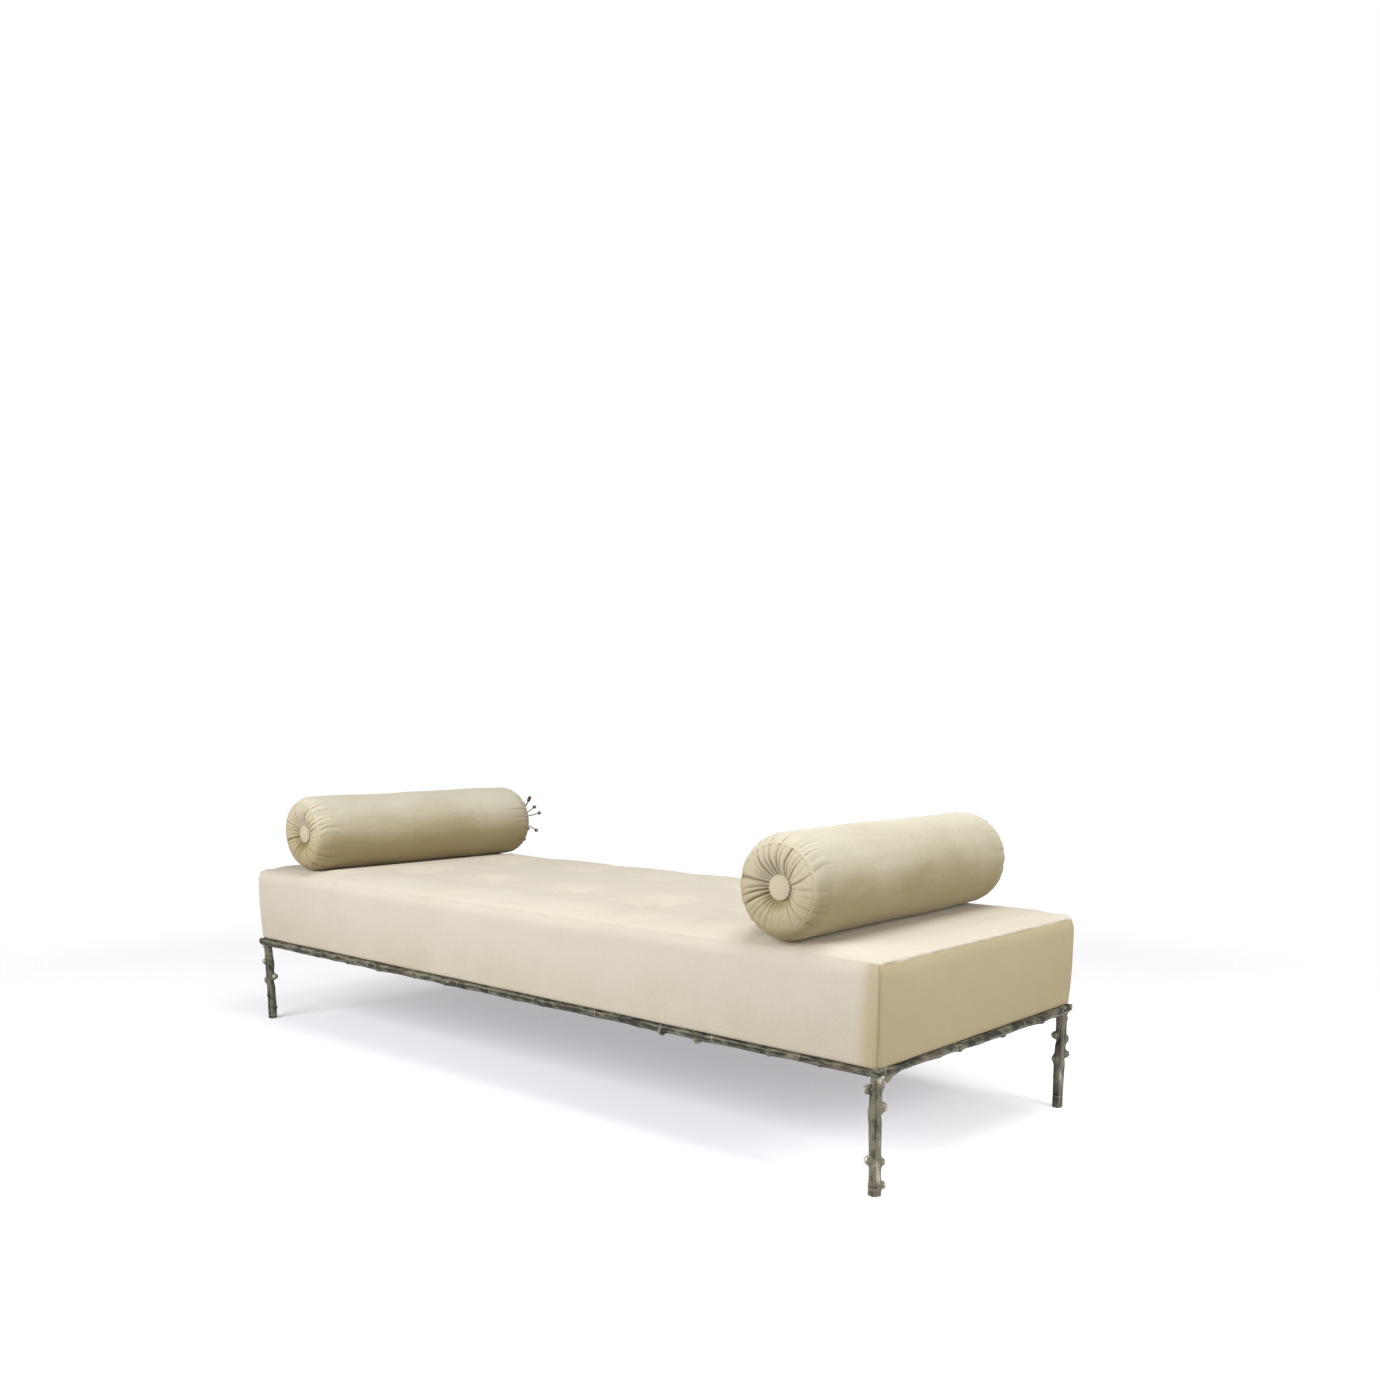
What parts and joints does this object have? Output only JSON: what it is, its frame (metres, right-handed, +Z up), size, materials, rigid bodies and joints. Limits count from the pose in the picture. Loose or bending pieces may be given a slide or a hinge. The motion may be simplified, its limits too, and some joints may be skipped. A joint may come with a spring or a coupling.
{
  "type": "backless divan",
  "caption": "Long backless divan: tufted upholstered seat on a cast twig frame with four legs, and loose round bolsters with gathered ends.",
  "frame": {"origin": "on the floor, under the middle of the whole object", "axes": "+X along the front edge to the right as seen from in front, +Y to the back, +Z up"},
  "size_m": [2.1622, 0.8295, 0.6533],
  "materials": {
    "twig_bronze": "satin dark bronze patina, worn pale on the knots",
    "berry_bronze": "satin bronze patina, brown to grey-green",
    "ledge_steel": "satin black paint",
    "screw_steel": "satin",
    "glide_nylon": "matte",
    "deck_plywood": "matte bare plywood",
    "frame_wood": "matte bare hardwood",
    "seat_foam": "matte foam",
    "side_felt": "matte felt",
    "bolster_filling": "matte fibre filling",
    "velvet": "matte short pile velvet, pale gold beige",
    "dust_cloth": "matte black cambric",
    "twine": "matte waxed twine",
    "toggle_plastic": "matte"
  },
  "bodies": {
    "divan": {"corner_blocks": "frame_wood", "cross_bar_1": "ledge_steel", "cross_bar_2": "ledge_steel", "cross_bar_3": "ledge_steel", "deck_board": "deck_plywood", "dust_cover": "dust_cloth", "foot_glides": "glide_nylon", "ledge_back": "ledge_steel", "ledge_front": "ledge_steel", "ledge_left": "ledge_steel", "ledge_right": "ledge_steel", "leg_back_left": "twig_bronze", "leg_back_right": "twig_bronze", "leg_front_left": "twig_bronze", "leg_front_right": "twig_bronze", "rail_back": "twig_bronze", "rail_front": "twig_bronze", "rail_left": "twig_bronze", "rail_right": "twig_bronze", "seat_cover_band": "velvet", "seat_cover_top": "velvet", "seat_foam": "seat_foam", "seat_rail_back": "frame_wood", "seat_rail_front": "frame_wood", "seat_rail_left": "frame_wood", "seat_rail_right": "frame_wood", "seat_screws": "screw_steel", "seat_slat_1": "frame_wood", "seat_slat_2": "frame_wood", "seat_slat_3": "frame_wood", "seat_slat_4": "frame_wood", "seat_slat_5": "frame_wood", "seat_slat_6": "frame_wood", "side_pad_back": "side_felt", "side_pad_front": "side_felt", "side_pad_left": "side_felt", "side_pad_right": "side_felt", "tuft_toggles": "toggle_plastic", "tuft_twines": "twine"},
    "bolster_left": {"berries": "berry_bronze", "berry_hub": "berry_bronze", "berry_stems": "berry_bronze", "left_bolster_barrel": "velvet", "left_bolster_button_front": "velvet", "left_bolster_core": "bolster_filling", "left_bolster_end_back": "velvet", "left_bolster_end_front": "velvet", "left_bolster_tie": "twine"},
    "bolster_right": {"right_bolster_barrel": "velvet", "right_bolster_button_back": "velvet", "right_bolster_button_front": "velvet", "right_bolster_core": "bolster_filling", "right_bolster_end_back": "velvet", "right_bolster_end_front": "velvet", "right_bolster_tie": "twine"}
  },
  "joints": [
    {"name": "bolster_left_lift", "type": "slide", "parent": "divan", "child": "bolster_left", "axis": [0, 0, 1], "range_m": [0, 0.3]},
    {"name": "bolster_right_lift", "type": "slide", "parent": "divan", "child": "bolster_right", "axis": [0, 0, 1], "range_m": [0, 0.3]}
  ]
}
